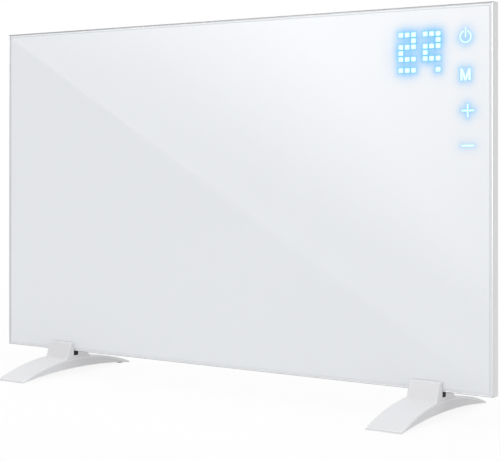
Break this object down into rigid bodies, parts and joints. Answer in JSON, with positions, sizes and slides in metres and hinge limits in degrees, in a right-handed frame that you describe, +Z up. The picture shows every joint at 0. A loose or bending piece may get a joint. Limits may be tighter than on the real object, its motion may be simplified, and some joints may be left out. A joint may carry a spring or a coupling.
{
  "type": "infrared panel heater",
  "caption": "Flat glass-fronted infrared panel heater on clamp-on arched feet, with a lit dot display and touch keys, and a control box with power switch behind.",
  "frame": {"origin": "on the floor, midway between the panel's ends and midway along the feet", "axes": "+X to the right seen from the front, +Y from the glass to the back, +Z up"},
  "size_m": [1, 0.305, 0.6425],
  "materials": {
    "white_glass": "gloss",
    "frame_silver": "satin",
    "cast_zinc": "satin",
    "silicone_tape": "matte",
    "display_light": "gloss",
    "key_light": "gloss",
    "heating_film": "satin",
    "copper": "satin",
    "mica": "satin",
    "foil": "polished",
    "insulation": "matte",
    "cover_white": "satin",
    "zinc_steel": "satin",
    "white_plastic": "satin",
    "foot_white": "satin",
    "black_rubber": "matte",
    "black_plastic": "satin",
    "circuit_green": "satin",
    "mask_grey": "matte",
    "led_lens": "gloss",
    "dark_lens": "gloss",
    "ribbon_grey": "satin",
    "relay_blue": "satin",
    "can_steel": "satin",
    "fuse_glass": "gloss",
    "terminal_green": "satin",
    "lead_white": "satin",
    "brass": "satin"
  },
  "bodies": {
    "panel": {"glass_panel": "white_glass", "frame_rail_top": "frame_silver", "frame_rail_bottom": "frame_silver", "frame_rail_left": "frame_silver", "frame_rail_right": "frame_silver", "corner_keys": "cast_zinc", "glass_tape": "silicone_tape", "display_digits": "display_light", "key_marks": "key_light", "heating_film": "heating_film", "bus_bar_outer": "copper", "bus_bar_inner": "copper", "touch_pads": "copper", "mica_sheet": "mica", "reflector_foil": "foil", "insulation_board": "insulation", "back_cover": "cover_white", "cover_screws": "zinc_steel", "wall_inserts": "zinc_steel", "lid_screws": "zinc_steel", "tilt_pin": "zinc_steel", "box_base": "white_plastic", "box_lid": "white_plastic", "tilt_case": "white_plastic", "lead_grommets": "black_rubber", "rocker_frame": "black_plastic", "gland_body": "black_plastic", "gland_nut": "black_plastic", "buzzer": "black_plastic", "power_module": "black_plastic", "overheat_cutout": "black_plastic", "display_board": "circuit_green", "circuit_board": "circuit_green", "light_mask": "mask_grey", "display_leds": "led_lens", "infrared_receiver": "dark_lens", "room_sensor": "dark_lens", "ribbon_cable": "ribbon_grey", "power_relay": "relay_blue", "capacitor": "can_steel", "fuse": "fuse_glass", "terminal_block": "terminal_green", "heater_leads": "lead_white"},
    "foot_left": {"foot_left": "foot_white", "foot_seat_left": "black_rubber", "floor_pads_left": "black_rubber", "clamp_insert_left": "brass"},
    "foot_right": {"foot_right": "foot_white", "foot_seat_right": "black_rubber", "floor_pads_right": "black_rubber", "clamp_insert_right": "brass"},
    "clamp_plate_left": {"clamp_plate_left": "zinc_steel"},
    "clamp_plate_right": {"clamp_plate_right": "zinc_steel"},
    "clamp_screw_left": {"clamp_stud_left": "zinc_steel", "clamp_knob_left": "black_plastic"},
    "clamp_screw_right": {"clamp_stud_right": "zinc_steel", "clamp_knob_right": "black_plastic"},
    "rocker": {"rocker": "black_plastic"},
    "tilt_pendulum": {"tilt_pendulum": "zinc_steel"}
  },
  "joints": [
    {"name": "foot_left_slide", "type": "slide", "parent": "panel", "child": "foot_left", "axis": [1, 0, 0], "range_m": [-0.09, 0.25]},
    {"name": "foot_right_slide", "type": "slide", "parent": "panel", "child": "foot_right", "axis": [1, 0, 0], "range_m": [-0.25, 0.07]},
    {"name": "clamp_left_press", "type": "slide", "parent": "foot_left", "child": "clamp_plate_left", "axis": [0, 1, 0], "range_m": [0, 0.00192]},
    {"name": "clamp_left_turn", "type": "hinge", "parent": "clamp_plate_left", "child": "clamp_screw_left", "pos_m": [-0.36, 0.0095, 0.0505], "axis": [0, 1, 0], "range_deg": [0, 864]},
    {"name": "clamp_right_press", "type": "slide", "parent": "foot_right", "child": "clamp_plate_right", "axis": [0, 1, 0], "range_m": [0, 0.00192]},
    {"name": "clamp_right_turn", "type": "hinge", "parent": "clamp_plate_right", "child": "clamp_screw_right", "pos_m": [0.3905, 0.0095, 0.0505], "axis": [0, 1, 0], "range_deg": [0, 864]},
    {"name": "rocker_tilt", "type": "hinge", "parent": "panel", "child": "rocker", "pos_m": [0.4742, 0.0215, 0.4425], "axis": [0, 1, 0], "range_deg": [-16, 0]},
    {"name": "pendulum_swing", "type": "hinge", "parent": "panel", "child": "tilt_pendulum", "pos_m": [0.4284, 0.0254, 0.4843], "axis": [1, 0, 0], "range_deg": [-30, 30]}
  ],
  "couplings": [
    {"joint": "clamp_left_turn", "follows": "clamp_left_press", "rad_per_m": 7854},
    {"joint": "clamp_right_turn", "follows": "clamp_right_press", "rad_per_m": 7854}
  ]
}
